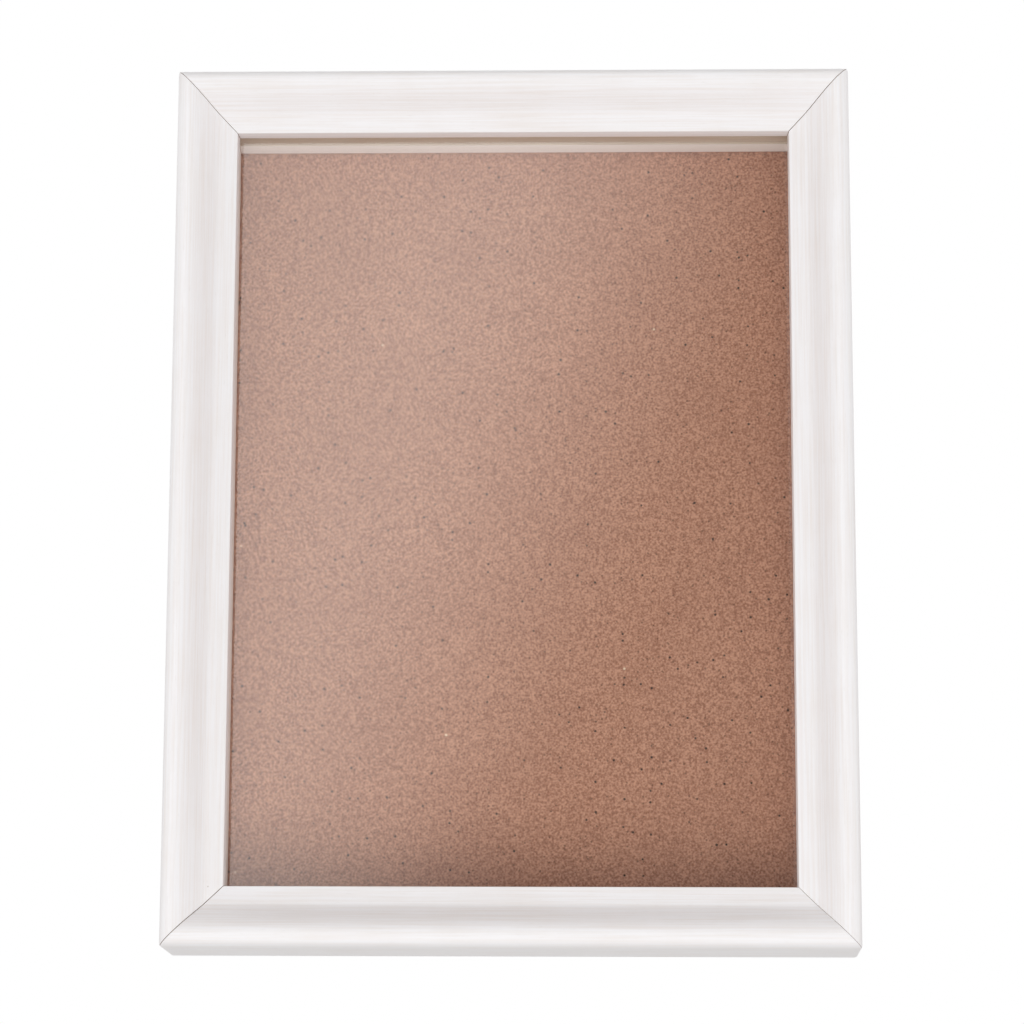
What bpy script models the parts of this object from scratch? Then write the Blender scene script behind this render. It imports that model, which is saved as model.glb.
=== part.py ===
# Wall-hung shadow box: a mitred wooden frame that holds a pane, four spacer strips and a back board.
# The front faces -Y and +Z is up. The back of the frame lies in the plane y = 0.
# The origin is the point where the wall's nail carries the toothed hanger.

import math

import bmesh
import bpy
from mathutils import Matrix, Vector

MM = 0.001

# Clearances
GAP = 0.3 * MM                # between pieces that touch on the real object
MITRE_GAP = 0.3 * MM          # open joint between two mitred ends
BOARD_SLACK = 0.8 * MM        # room between the spacers and the back board
PANE_PLAY = 0.4 * MM          # room around the pane and the board in the rebate

# Pane, spacers and board
PANE_WIDTH = 152.4 * MM
PANE_HEIGHT = 203.2 * MM
PANE_THICKNESS = 2.0 * MM
SPACER_DEPTH = 14.9 * MM      # front to back
SPACER_SET_BACK = 0.45 * MM   # from the sight edge out to the spacer's inner face
SPACER_BARE_DEPTH = 7.0 * MM  # front part of the spacer, planed back a little
SPACER_STEP = 0.25 * MM
BOARD_THICKNESS = 4.8 * MM
BOARD_RECESS = 0.4 * MM       # from the board's back to the frame's back

# Frame moulding. Widths run outwards from the sight edge, heights forwards from it.
LIP_COVER = 5.2 * MM          # how far the lip covers the pane
LIP_THICKNESS = 4.1 * MM
LIP_LEAN = 0.15 * MM          # the lip's inner wall leans in towards its back
SLOPE_WIDTH = 4.4 * MM        # gentle slope next to the sight edge
SLOPE_HEIGHT = 2.0 * MM
CROWN_WIDTH = 11.7 * MM
CROWN_HEIGHT = 8.45 * MM
SHOULDER_WIDTH = 15.1 * MM    # where the round-over meets the outer side
SHOULDER_HEIGHT = 2.5 * MM
WALL_THICKNESS = 11.2 * MM    # of the rail behind the rebate, at its back
FACE_STEPS = 8                # straight pieces in each curved stretch of the moulding

# Handles of the moulding's curves, as shares of each stretch's width and height
SLOPE_START = (1 / 3, 1 / 4)
SLOPE_END = (0.68, 0.62)
COVE_START = (0.25, 0.19)
COVE_END = (0.41, 0.02)       # measured back from the crown
ROUND_START = 0.65
ROUND_END = (0.07, 0.69)      # measured back from the shoulder

# Corner nails, driven across each mitre from the back
CORNER_NAIL_LEG = 5.0 * MM
CORNER_NAIL_THICKNESS = 0.6 * MM
CORNER_NAIL_DEPTH = 9.0 * MM

# Turn buttons and their screws
BUTTON_WIDTH = 9.0 * MM
BUTTON_REACH = 17.0 * MM      # pivot to tip
BUTTON_THICKNESS = 1.0 * MM
BUTTON_SPREAD = 112.0 * MM    # between the two buttons of one rail
SCREW_RADIUS = 1.3 * MM
SCREW_LENGTH = 10.0 * MM      # below the head
SCREW_HEAD_RADIUS = 2.7 * MM
SCREW_HEAD_HEIGHT = 1.7 * MM
SCREW_SLOT_WIDTH = 0.7 * MM
SCREW_SLOT_LENGTH = 3.0 * MM
SCREW_SLOT_DEPTH = 0.9 * MM
SCREW_SLOT_TURN = 30          # degrees
SCREW_DOME = (0.35, 0.65)     # shares of the head's height that are straight and domed
SCREW_POINT_START = 0.8       # share of the length where the point begins
DOME_STEP = 15                # degrees

# Toothed hanger and its nails
HANGER_LENGTH = 44.0 * MM
HANGER_WIDTH = 6.4 * MM
HANGER_THICKNESS = 0.8 * MM
HANGER_BOW = 2.0 * MM         # how far its middle stands off the wood
HANGER_FOOT = 8.0 * MM        # flat length at each end
HANGER_TEETH = 9
HANGER_TOOTH = 1.3 * MM       # height of a tooth
HANGER_NAIL_RADIUS = 0.7 * MM
HANGER_NAIL_HEAD_RADIUS = 1.6 * MM
HANGER_NAIL_HEAD_HEIGHT = 0.6 * MM
HANGER_NAIL_LENGTH = 8.0 * MM
HANGER_NAIL_BEVEL = (0.8, 0.9)    # shares of the head's radius and height
HANGER_NAIL_RIM = 0.4             # share of the head's height
HANGER_NAIL_POINT_START = 0.85    # share of the length where the point begins

# How the shapes are made
TURN_STEPS = 20
NAIL_TURN_STEPS = 16
WELD_DISTANCE = 0.001 * MM
SPIN_WELD_DISTANCE = 0.01 * MM
ROUND_END_PULL = 4 / 3        # handle length of a half circle, in radii
SMOOTH_ANGLE = 35             # degrees

# Worked out from the sizes above
OPENING_WIDTH = PANE_WIDTH - 2 * LIP_COVER
OPENING_HEIGHT = PANE_HEIGHT - 2 * LIP_COVER
REBATE = LIP_COVER + PANE_PLAY
RAIL_WIDTH = REBATE + WALL_THICKNESS
PANE_FRONT = LIP_THICKNESS + GAP
SPACER_FRONT = PANE_FRONT + PANE_THICKNESS + GAP
BOARD_FRONT = SPACER_FRONT + SPACER_DEPTH + BOARD_SLACK
FRAME_DEPTH = BOARD_FRONT + BOARD_THICKNESS + BOARD_RECESS  # sight edge to back
WALL_MIDDLE = REBATE + WALL_THICKNESS / 2
MITRE_TRIM = MITRE_GAP / math.sqrt(2)
SQUARE = math.radians(90)

# Each side's turn about the Y axis, which carries +X to the side's outward direction
SIDES = {"right": 0.0, "top": -SQUARE, "left": 2 * SQUARE, "bottom": SQUARE}


for leftover in list(bpy.data.objects):
    bpy.data.objects.remove(leftover, do_unlink=True)

parts = bpy.data.collections.new("shadow_box")
cutters = bpy.data.collections.new("cutters")
bpy.context.scene.collection.children.link(parts)
bpy.context.scene.collection.children.link(cutters)

# The middle of the opening, in the plane of the frame's back. Every piece is placed from it.
datum = bpy.data.objects.new("opening_centre", None)
parts.objects.link(datum)
datum.location = (0, 0, -(OPENING_HEIGHT / 2 + WALL_MIDDLE - HANGER_WIDTH / 2 + HANGER_TOOTH))


def material(name, colour, roughness, metallic=0.0):
    """A Principled material of one colour."""
    made = bpy.data.materials.new(name)
    made.use_nodes = True
    shader = made.node_tree.nodes["Principled BSDF"]
    shader.inputs["Base Color"].default_value = (*colour, 1.0)
    shader.inputs["Roughness"].default_value = roughness
    shader.inputs["Metallic"].default_value = metallic
    return made


def add_object(name, mesh, collection=parts, finish=None, smooth_angle=None):
    """An object with its own material, parented to the opening's centre."""
    made = bpy.data.objects.new(name, mesh)
    collection.objects.link(made)
    made.parent = datum
    if finish:
        mesh.materials.clear()
        mesh.materials.append(finish)
    if smooth_angle:
        mesh.shade_smooth()
        mesh.set_sharp_from_angle(angle=math.radians(smooth_angle))
    return made


def cutter(name, mesh):
    """A guide that only cuts other pieces."""
    made = add_object(name, mesh, collection=cutters)
    made.hide_render = True
    made.display_type = "WIRE"
    return made


def cut(piece, tool):
    """Takes the tool's shape out of the piece."""
    boolean = piece.modifiers.new(tool.name, "BOOLEAN")
    boolean.operation = "DIFFERENCE"
    boolean.solver = "EXACT"
    boolean.object = tool


def outward(side):
    """The direction from the opening's centre to the middle of one side."""
    return Matrix.Rotation(SIDES[side], 3, "Y") @ Vector((1, 0, 0))


def half_across(side):
    """Half the opening, measured from its centre out to one side."""
    return (OPENING_WIDTH if side in ("left", "right") else OPENING_HEIGHT) / 2


def half_along(side):
    """Half the opening, measured along one side."""
    return (OPENING_HEIGHT if side in ("left", "right") else OPENING_WIDTH) / 2


def closed_mesh(curve, name):
    """The mesh of a filled and extruded curve, with its caps welded on."""
    holder = bpy.data.objects.new(name, curve)
    cutters.objects.link(holder)
    evaluated = holder.evaluated_get(bpy.context.evaluated_depsgraph_get())
    mesh = bpy.data.meshes.new_from_object(evaluated)
    mesh.name = name
    bpy.data.objects.remove(holder, do_unlink=True)
    bpy.data.curves.remove(curve)
    shape = bmesh.new()
    shape.from_mesh(mesh)
    bmesh.ops.remove_doubles(shape, verts=shape.verts, dist=WELD_DISTANCE)
    bmesh.ops.recalc_face_normals(shape, faces=shape.faces)
    shape.to_mesh(mesh)
    shape.free()
    return mesh


def flat_curve(name, thickness):
    """An empty 2D curve whose outlines are filled and extruded to a thickness."""
    curve = bpy.data.curves.new(name, "CURVE")
    curve.dimensions = "2D"
    curve.fill_mode = "BOTH"
    curve.extrude = thickness / 2
    curve.resolution_u = FACE_STEPS
    return curve


def add_corners(curve, corners):
    """A closed outline of straight lines."""
    spline = curve.splines.new("POLY")
    spline.points.add(len(corners) - 1)
    for point, (x, y) in zip(spline.points, corners):
        point.co = (x, y, 0, 1)
    spline.use_cyclic_u = True


def add_outline(curve, knots):
    """A closed outline of (point, handle before, handle after); a handle of None makes that end straight."""
    spline = curve.splines.new("BEZIER")
    spline.bezier_points.add(len(knots) - 1)
    for knot, (point, before, after) in zip(spline.bezier_points, knots):
        knot.co = (*point, 0)
        knot.handle_left_type = "FREE" if before else "VECTOR"
        knot.handle_right_type = "FREE" if after else "VECTOR"
        knot.handle_left = (*(before or point), 0)
        knot.handle_right = (*(after or point), 0)
    spline.use_cyclic_u = True


def add_circle(curve, radius, steps):
    """A round hole, or a disc where it is the only outline."""
    add_corners(curve, [
        (radius * math.cos(2 * math.pi * i / steps), radius * math.sin(2 * math.pi * i / steps))
        for i in range(steps)
    ])


def mitred_bar(name, curve, side):
    """A mesh along +Z whose section is the curve: x outwards from the sight edge, y forwards.
    Each end point moves out by its own distance from the sight edge, which makes a 45 degree mitre."""
    mesh = closed_mesh(curve, name)
    for vertex in mesh.vertices:
        reach = half_along(side) + vertex.co.x - MITRE_TRIM
        vertex.co.z = math.copysign(reach, vertex.co.z)
    mesh.update()
    return mesh


def place_on_side(piece, side, forwards=FRAME_DEPTH):
    """Puts a bar on its side of the opening, with its section's origin on the sight edge."""
    piece.location = outward(side) * half_across(side) + Vector((0, -forwards, 0))
    piece.rotation_euler = (2 * SQUARE, SIDES[side], 0)


def turned(name, profile):
    """An open profile of (radius, height), from the top down, for a Screw modifier about Z."""
    mesh = bpy.data.meshes.new(name)
    edges = [(i, i + 1) for i in range(len(profile) - 1)]
    mesh.from_pydata([(radius, 0, height) for radius, height in profile], edges, [])
    return mesh


def spin(piece, steps):
    """Turns an open profile once about Z."""
    screw = piece.modifiers.new("spin", "SCREW")
    screw.axis = "Z"
    screw.angle = 2 * math.pi
    screw.steps = steps
    screw.render_steps = steps
    screw.use_merge_vertices = True
    screw.merge_threshold = SPIN_WELD_DISTANCE
    screw.use_smooth_shade = True


def face_the_wall(piece):
    """Turns a piece whose top is +Z so that the top faces the wall, along +Y."""
    piece.rotation_euler = (-SQUARE, 0, 0)


def moulding_curve(name):
    """The moulding's section: slope, cove and crown, round-over, leaning side, back and rebate."""
    cove_width = CROWN_WIDTH - SLOPE_WIDTH
    cove_height = CROWN_HEIGHT - SLOPE_HEIGHT
    round_width = SHOULDER_WIDTH - CROWN_WIDTH
    round_height = CROWN_HEIGHT - SHOULDER_HEIGHT
    sight = (0, 0)
    slope = (SLOPE_WIDTH, SLOPE_HEIGHT)
    crown = (CROWN_WIDTH, CROWN_HEIGHT)
    shoulder = (SHOULDER_WIDTH, SHOULDER_HEIGHT)
    curve = flat_curve(name, 2 * RAIL_WIDTH)
    add_outline(curve, [
        (sight, None, (SLOPE_WIDTH * SLOPE_START[0], SLOPE_HEIGHT * SLOPE_START[1])),
        (slope,
         (SLOPE_WIDTH * SLOPE_END[0], SLOPE_HEIGHT * SLOPE_END[1]),
         (SLOPE_WIDTH + cove_width * COVE_START[0], SLOPE_HEIGHT + cove_height * COVE_START[1])),
        (crown,
         (CROWN_WIDTH - cove_width * COVE_END[0], CROWN_HEIGHT - cove_height * COVE_END[1]),
         (CROWN_WIDTH + round_width * ROUND_START, CROWN_HEIGHT)),
        (shoulder,
         (SHOULDER_WIDTH - round_width * ROUND_END[0], SHOULDER_HEIGHT + round_height * ROUND_END[1]),
         None),
        ((RAIL_WIDTH, -FRAME_DEPTH), None, None),
        ((REBATE, -FRAME_DEPTH), None, None),
        ((REBATE, -LIP_THICKNESS), None, None),
        ((-LIP_LEAN, -LIP_THICKNESS), None, None),
    ])
    return curve


def make_rails():
    """Four mitred lengths of the moulding."""
    rails = {}
    for side in SIDES:
        finish = material(f"white_stained_wood_{side}", (0.80, 0.79, 0.77), 0.5)
        mesh = mitred_bar(f"rail_{side}", moulding_curve(f"rail_{side}"), side)
        rail = add_object(f"rail_{side}", mesh, finish=finish, smooth_angle=SMOOTH_ANGLE)
        place_on_side(rail, side)
        rails[side] = rail
    return rails


def make_pane_and_board():
    """The pane behind the lip, and the board that closes the back."""
    front = {"glass_pane": PANE_FRONT, "back_board": BOARD_FRONT}
    thickness = {"glass_pane": PANE_THICKNESS, "back_board": BOARD_THICKNESS}
    finish = {
        "glass_pane": material("clear_glass", (0.80, 0.88, 0.86), 0.05),
        "back_board": material("brown_hardboard", (0.36, 0.22, 0.15), 0.7),
    }
    for name in front:
        bpy.ops.mesh.primitive_cube_add(size=1)
        piece = bpy.context.object
        mesh = piece.data
        mesh.transform(Matrix.Diagonal((PANE_WIDTH, thickness[name], PANE_HEIGHT, 1)))
        mesh.name = name
        bpy.data.objects.remove(piece, do_unlink=True)
        sheet = add_object(name, mesh, finish=finish[name])
        sheet.location = (0, front[name] + thickness[name] / 2 - FRAME_DEPTH, 0)


def make_spacers():
    """Four mitred strips that keep the board away from the pane."""
    inner = SPACER_SET_BACK
    outer = REBATE - GAP
    for side in SIDES:
        finish = material(f"pale_strip_{side}", (0.62, 0.54, 0.47), 0.6)
        curve = flat_curve(f"spacer_{side}", 2 * RAIL_WIDTH)
        add_corners(curve, [
            (inner + SPACER_STEP, 0),
            (outer, 0),
            (outer, -SPACER_DEPTH),
            (inner, -SPACER_DEPTH),
            (inner, -SPACER_BARE_DEPTH),
            (inner + SPACER_STEP, -SPACER_BARE_DEPTH),
        ])
        mesh = mitred_bar(f"spacer_{side}", curve, side)
        spacer = add_object(f"spacer_{side}", mesh, finish=finish)
        place_on_side(spacer, side, forwards=FRAME_DEPTH - SPACER_FRONT)


def corner_nail_corners(spare):
    """The outline of a corner nail, as its two legs run from the corner, grown by a spare margin."""
    half = CORNER_NAIL_THICKNESS / 2 + spare
    leg = CORNER_NAIL_LEG + spare
    return [(half, half), (-leg, half), (-leg, -half), (-half, -half), (-half, -leg), (half, -leg)]


def make_corner_nails(rails):
    """A bent steel nail across each mitre, sunk in its own slot from the back."""
    for column, x_sign in (("left", -1), ("right", 1)):
        for row, z_sign in (("bottom", -1), ("top", 1)):
            name = f"corner_nail_{row}_{column}"
            turn = math.atan2(z_sign, x_sign) - math.atan2(1, 1)
            x = x_sign * (OPENING_WIDTH / 2 + WALL_MIDDLE)
            z = z_sign * (OPENING_HEIGHT / 2 + WALL_MIDDLE)
            nail_curve = flat_curve(name, CORNER_NAIL_DEPTH)
            add_corners(nail_curve, corner_nail_corners(0))
            finish = material(f"galvanised_steel_{name}", (0.55, 0.55, 0.54), 0.4, 1.0)
            nail = add_object(name, closed_mesh(nail_curve, name), finish=finish)
            slot_curve = flat_curve(f"{name}_slot", CORNER_NAIL_DEPTH + 4 * GAP)
            add_corners(slot_curve, corner_nail_corners(GAP))
            slot = cutter(f"{name}_slot", closed_mesh(slot_curve, f"{name}_slot"))
            for piece in (nail, slot):
                piece.location = (x, -GAP - CORNER_NAIL_DEPTH / 2, z)
                piece.rotation_euler = (SQUARE, -turn, 0)
            cut(rails[row], slot)
            cut(rails[column], slot)


def button_mesh(name):
    """A stadium-shaped plate with its pivot hole at the origin, its tip towards -X and its top +Z."""
    end = BUTTON_WIDTH / 2
    tip = -(BUTTON_REACH - end)
    pull = end * ROUND_END_PULL
    curve = flat_curve(name, BUTTON_THICKNESS)
    add_outline(curve, [
        ((0, end), (pull, end), None),
        ((tip, end), None, (tip - pull, end)),
        ((tip, -end), (tip - pull, -end), None),
        ((0, -end), None, (pull, -end)),
    ])
    add_circle(curve, SCREW_RADIUS + GAP, TURN_STEPS)
    return closed_mesh(curve, name)


def screw_hole(name, radius, depth):
    """A drill for a blind hole in the frame's back."""
    curve = flat_curve(name, 2 * depth)
    add_circle(curve, radius, TURN_STEPS)
    return cutter(name, closed_mesh(curve, name))


def screw_profile():
    """Half a pan-head screw, from the middle of its head down to its point."""
    dome = [
        (SCREW_HEAD_RADIUS * math.sin(angle), SCREW_HEAD_HEIGHT * (SCREW_DOME[0] + SCREW_DOME[1] * math.cos(angle)))
        for angle in (math.radians(degrees) for degrees in range(0, 91, DOME_STEP))
    ]
    return dome + [
        (SCREW_HEAD_RADIUS, 0),
        (SCREW_RADIUS, 0),
        (SCREW_RADIUS, -SCREW_LENGTH * SCREW_POINT_START),
        (0, -SCREW_LENGTH),
    ]


def make_turn_buttons(rails):
    """Two turn buttons on each long rail, each on its own screw, their tips over the board."""
    steel = ((0.60, 0.60, 0.58), 0.35, 1.0)
    for side, sign in (("left", -1), ("right", 1)):
        for row, z_sign in (("lower", -1), ("upper", 1)):
            x = sign * (OPENING_WIDTH / 2 + WALL_MIDDLE)
            z = z_sign * BUTTON_SPREAD / 2
            name = f"turn_button_{side}_{row}"
            button = add_object(name, button_mesh(name), finish=material(f"zinc_{name}", *steel),
                                smooth_angle=SMOOTH_ANGLE)
            button.location = (x, GAP + BUTTON_THICKNESS / 2, z)
            button.rotation_euler = (-SQUARE, SQUARE * (1 - sign), 0)

            name = f"button_screw_{side}_{row}"
            screw = add_object(name, turned(name, screw_profile()), finish=material(f"zinc_{name}", *steel))
            spin(screw, TURN_STEPS)
            screw.location = (x, BUTTON_THICKNESS + 2 * GAP, z)
            face_the_wall(screw)
            for index in range(2):
                blade = bmesh.new()
                bmesh.ops.create_cube(blade, size=1)
                sizes = (SCREW_SLOT_LENGTH, SCREW_SLOT_WIDTH, 2 * SCREW_SLOT_DEPTH, 1)
                bmesh.ops.transform(blade, matrix=Matrix.Diagonal(sizes), verts=blade.verts)
                mesh = bpy.data.meshes.new(f"{name}_slot_{index}")
                blade.to_mesh(mesh)
                blade.free()
                slot = cutter(f"{name}_slot_{index}", mesh)
                slot.location = screw.location + Vector((0, SCREW_HEAD_HEIGHT, 0))
                slot.rotation_euler = (-SQUARE, SQUARE * index + math.radians(SCREW_SLOT_TURN), 0)
                cut(screw, slot)

            depth = SCREW_LENGTH - BUTTON_THICKNESS - GAP  # one gap deeper than the screw's point
            hole = screw_hole(f"{name}_hole", SCREW_RADIUS + GAP, depth)
            hole.location = (x, 0, z)
            face_the_wall(hole)
            cut(rails[side], hole)


def hanger_bow(x):
    """How far the hanger stands off the wood: flat feet, then half a cosine wave up and down."""
    span = HANGER_LENGTH / 2 - HANGER_FOOT
    if abs(x) >= span:
        return 0.0
    return HANGER_BOW * (1 + math.cos(math.pi * x / span)) / 2


def make_hanger(rails):
    """A bowed toothed strip across the top rail's back, held by a nail at each end."""
    span = HANGER_LENGTH / 2 - HANGER_FOOT
    steps = 2 * HANGER_TEETH
    xs = [-HANGER_LENGTH / 2, *(span * (2 * i / steps - 1) for i in range(steps + 1)), HANGER_LENGTH / 2]
    strip = bmesh.new()
    upper, lower = [], []
    for index, x in enumerate(xs):
        valley = HANGER_TOOTH if 0 < index < len(xs) - 1 and index % 2 == 0 else 0
        y = GAP + HANGER_THICKNESS / 2 + hanger_bow(x)
        upper.append(strip.verts.new((x, y, HANGER_WIDTH / 2)))
        lower.append(strip.verts.new((x, y, -HANGER_WIDTH / 2 + valley)))
    for i in range(len(xs) - 1):
        strip.faces.new((upper[i], upper[i + 1], lower[i + 1], lower[i]))
    mesh = bpy.data.meshes.new("sawtooth_hanger")
    strip.to_mesh(mesh)
    strip.free()
    brass = ((0.62, 0.50, 0.28), 0.35, 1.0)
    z = OPENING_HEIGHT / 2 + WALL_MIDDLE
    hanger = add_object("sawtooth_hanger", mesh, finish=material("brassed_steel_hanger", *brass))
    hanger.location = (0, 0, z)
    sheet = hanger.modifiers.new("sheet", "SOLIDIFY")
    sheet.thickness = HANGER_THICKNESS
    sheet.offset = 0.0

    for side, sign in (("left", -1), ("right", 1)):
        x = sign * (HANGER_LENGTH / 2 - HANGER_FOOT / 2)
        name = f"hanger_nail_{side}"
        nail = add_object(name, turned(name, [
            (0, HANGER_NAIL_HEAD_HEIGHT),
            (HANGER_NAIL_HEAD_RADIUS * HANGER_NAIL_BEVEL[0], HANGER_NAIL_HEAD_HEIGHT * HANGER_NAIL_BEVEL[1]),
            (HANGER_NAIL_HEAD_RADIUS, HANGER_NAIL_HEAD_HEIGHT * HANGER_NAIL_RIM),
            (HANGER_NAIL_HEAD_RADIUS, 0),
            (HANGER_NAIL_RADIUS, 0),
            (HANGER_NAIL_RADIUS, -HANGER_NAIL_LENGTH * HANGER_NAIL_POINT_START),
            (0, -HANGER_NAIL_LENGTH),
        ]), finish=material(f"brassed_steel_{name}", *brass))
        spin(nail, NAIL_TURN_STEPS)
        nail.location = (x, HANGER_THICKNESS + 2 * GAP, z)
        face_the_wall(nail)
        hole = screw_hole(f"{name}_hole", HANGER_NAIL_RADIUS + GAP, HANGER_NAIL_LENGTH)
        hole.location = (x, 0, z)
        face_the_wall(hole)
        cut(rails["top"], hole)
        cut(hanger, hole)


rails = make_rails()
make_pane_and_board()
make_spacers()
make_corner_nails(rails)
make_turn_buttons(rails)
make_hanger(rails)
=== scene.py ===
import math

import bmesh
import bpy
import numpy as np
from mathutils import Matrix, Vector


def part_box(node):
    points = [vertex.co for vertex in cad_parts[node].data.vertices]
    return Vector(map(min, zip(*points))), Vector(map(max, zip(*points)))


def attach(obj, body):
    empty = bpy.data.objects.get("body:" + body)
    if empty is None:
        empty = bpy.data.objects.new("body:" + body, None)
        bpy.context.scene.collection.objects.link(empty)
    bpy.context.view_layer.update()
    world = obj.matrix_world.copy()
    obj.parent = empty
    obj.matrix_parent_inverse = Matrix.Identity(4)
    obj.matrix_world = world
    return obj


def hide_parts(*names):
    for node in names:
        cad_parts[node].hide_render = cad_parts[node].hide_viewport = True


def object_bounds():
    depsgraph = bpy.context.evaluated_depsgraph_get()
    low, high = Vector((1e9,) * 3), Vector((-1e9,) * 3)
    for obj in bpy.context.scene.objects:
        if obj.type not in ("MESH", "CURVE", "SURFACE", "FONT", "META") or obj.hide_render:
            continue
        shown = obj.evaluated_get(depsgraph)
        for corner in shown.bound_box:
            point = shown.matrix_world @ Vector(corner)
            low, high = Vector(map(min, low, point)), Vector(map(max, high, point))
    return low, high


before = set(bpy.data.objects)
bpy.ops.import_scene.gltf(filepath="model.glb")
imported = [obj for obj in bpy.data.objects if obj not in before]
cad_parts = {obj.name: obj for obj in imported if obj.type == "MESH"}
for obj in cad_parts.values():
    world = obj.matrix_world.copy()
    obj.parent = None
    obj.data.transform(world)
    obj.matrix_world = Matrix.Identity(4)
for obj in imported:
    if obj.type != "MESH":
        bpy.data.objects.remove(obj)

mm = 0.001
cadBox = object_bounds()

# The moulding's section, in mm: o runs outwards from the sight edge, f forwards from it.
# The levers of a curve stand off its two ends by shares of its run and its rise.
moulding = {
    "slope": (4.4, 2.0),          # end of the gentle slope beside the sight edge
    "slopeLevers": ((1 / 3, 1 / 4), (0.32, 0.38)),
    "crown": (11.7, 8.45),        # highest line of the face
    "coveLevers": ((0.25, 0.19), (0.41, 0.02)),
    "shoulder": (15.1, 2.5),      # where the round-over meets the leaning side
    "roundLevers": ((0.65, 0.0), (0.07, 0.69)),
    "width": 16.8,                # at the back
    "rebate": 5.6,                # from the sight edge to the wall beside the pane
    "lipThickness": 4.1,
    "lipLean": 0.15,              # the lip's inner edge stands this far into the opening
    "edgeEase": 0.16,             # sanded edges
    "mitreEase": {"bottom_left": 0.09, "bottom_right": 0.06, "top_left": 0.07, "top_right": 0.07},
    "mitreGap": {"bottom_left": 0.13, "bottom_right": 0.07, "top_left": 0.10, "top_right": 0.13},
    "tipRadius": {"bottom": 0.9, "top": 0.7},      # the frame's outer corners, knocked and sanded
    "tipReach": 4.0,              # that rounding starts this far in from the crown
}

railLow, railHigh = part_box("rail_left")[0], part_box("rail_right")[1]
floorOfFrame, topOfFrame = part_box("rail_bottom")[0].z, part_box("rail_top")[1].z
halfWide = (railHigh.x - railLow.x) / 2 - moulding["width"] * mm       # half the opening
halfTall = (topOfFrame - floorOfFrame) / 2 - moulding["width"] * mm
centreZ = (topOfFrame + floorOfFrame) / 2
sightY = railLow.y + moulding["crown"][1] * mm                        # plane of the sight edge
backY = railHigh.y
frameDepth = (backY - sightY) / mm

# Each side's outward and lengthwise directions, as (x, z)
sides = {
    "left": ((-1, 0), (0, 1)),
    "right": ((1, 0), (0, 1)),
    "bottom": ((0, -1), (1, 0)),
    "top": ((0, 1), (1, 0)),
}
print("frame read: opening", round(2 * halfWide / mm, 2), "by", round(2 * halfTall / mm, 2), "mm")


def linear(hexColour):
    # an sRGB hex value as linear red, green, blue and full alpha, by the standard's own curve
    parts = [int(hexColour[i:i + 2], 16) / 255 for i in (0, 2, 4)]
    return (*(c / 12.92 if c <= 0.04045 else ((c + 0.055) / 1.055) ** 2.4 for c in parts), 1.0)


def addNode(tree, kind, feeds=None, **settings):
    # a shader node with its settings; feeds holds fixed values and links, by socket name or number
    made = tree.nodes.new("ShaderNode" + kind)
    for name, value in settings.items():
        setattr(made, name, value)
    for key, value in (feeds or {}).items():
        source = value.outputs[0] if isinstance(value, bpy.types.Node) else value
        if isinstance(source, bpy.types.NodeSocket):
            tree.links.new(source, made.inputs[key])
        else:
            made.inputs[key].default_value = source
    return made


def startMaterial(name, roughness, metallic=0.0):
    # a material whose shader already has the values that are the same all over
    made = bpy.data.materials.new(name)
    made.use_nodes = True
    shader = made.node_tree.nodes["Principled BSDF"]
    shader.inputs["Roughness"].default_value = roughness
    shader.inputs["Metallic"].default_value = metallic
    return made, made.node_tree, shader


weldDistance = 0.0004 * mm        # points closer than this are one point


def surface(name, grid, finishes, uv=None, capped=False, sharpAngle=32):
    # grid[i, j] is a sheet of points. Quads join neighbours, points that coincide are welded,
    # and capped closes the first and last rows with one face each, in the last finish
    rows, columns = grid.shape[:2]
    corner = (np.arange(rows - 1)[:, None] * columns + np.arange(columns - 1)).ravel()
    quads = np.stack([corner, corner + 1, corner + columns + 1, corner + columns], axis=1)
    faces = quads.tolist()
    if capped:
        faces.append(list(range(columns - 1)))
        faces.append(list(range((rows - 1) * columns, rows * columns - 1)))
    mesh = bpy.data.meshes.new(name)
    mesh.from_pydata(grid.reshape(-1, 3).tolist(), [], faces)
    if uv is not None:
        layer = mesh.uv_layers.new(name="surfaceMm")
        loops = np.concatenate([np.array(f) for f in (quads.ravel(), *faces[len(quads):])])
        layer.data.foreach_set("uv", uv.reshape(-1, 2)[loops].astype(np.float32).ravel())
    if capped:
        last = np.zeros(len(faces), np.int32)
        last[len(quads):] = len(finishes) - 1
        mesh.polygons.foreach_set("material_index", last)
    shape = bmesh.new()
    shape.from_mesh(mesh)
    bmesh.ops.remove_doubles(shape, verts=shape.verts, dist=weldDistance)
    bmesh.ops.recalc_face_normals(shape, faces=shape.faces)
    bmesh.ops.triangulate(shape, faces=[face for face in shape.faces if len(face.verts) > 4])
    shape.to_mesh(mesh)
    shape.free()
    for finish in finishes:
        mesh.materials.append(finish)
    mesh.shade_smooth()
    mesh.set_sharp_from_angle(angle=math.radians(sharpAngle))
    piece = bpy.data.objects.new(name, mesh)
    bpy.context.scene.collection.objects.link(piece)
    return piece


def cutAway(piece, tool):
    # takes the tool's shape out of the piece and throws the tool away
    cut = piece.modifiers.new("cut", "BOOLEAN")
    cut.operation = "DIFFERENCE"
    cut.solver = "EXACT"
    cut.object = tool
    bpy.context.view_layer.update()
    done = bpy.data.meshes.new_from_object(piece.evaluated_get(bpy.context.evaluated_depsgraph_get()))
    old = piece.data
    done.name = piece.name
    piece.modifiers.clear()
    piece.data = done
    bpy.data.meshes.remove(old)
    bpy.data.objects.remove(tool, do_unlink=True)


def settle(piece, body, slotName, *nodes):
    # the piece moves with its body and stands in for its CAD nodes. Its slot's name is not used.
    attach(piece, body)
    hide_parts(*nodes)
    return piece


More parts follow.
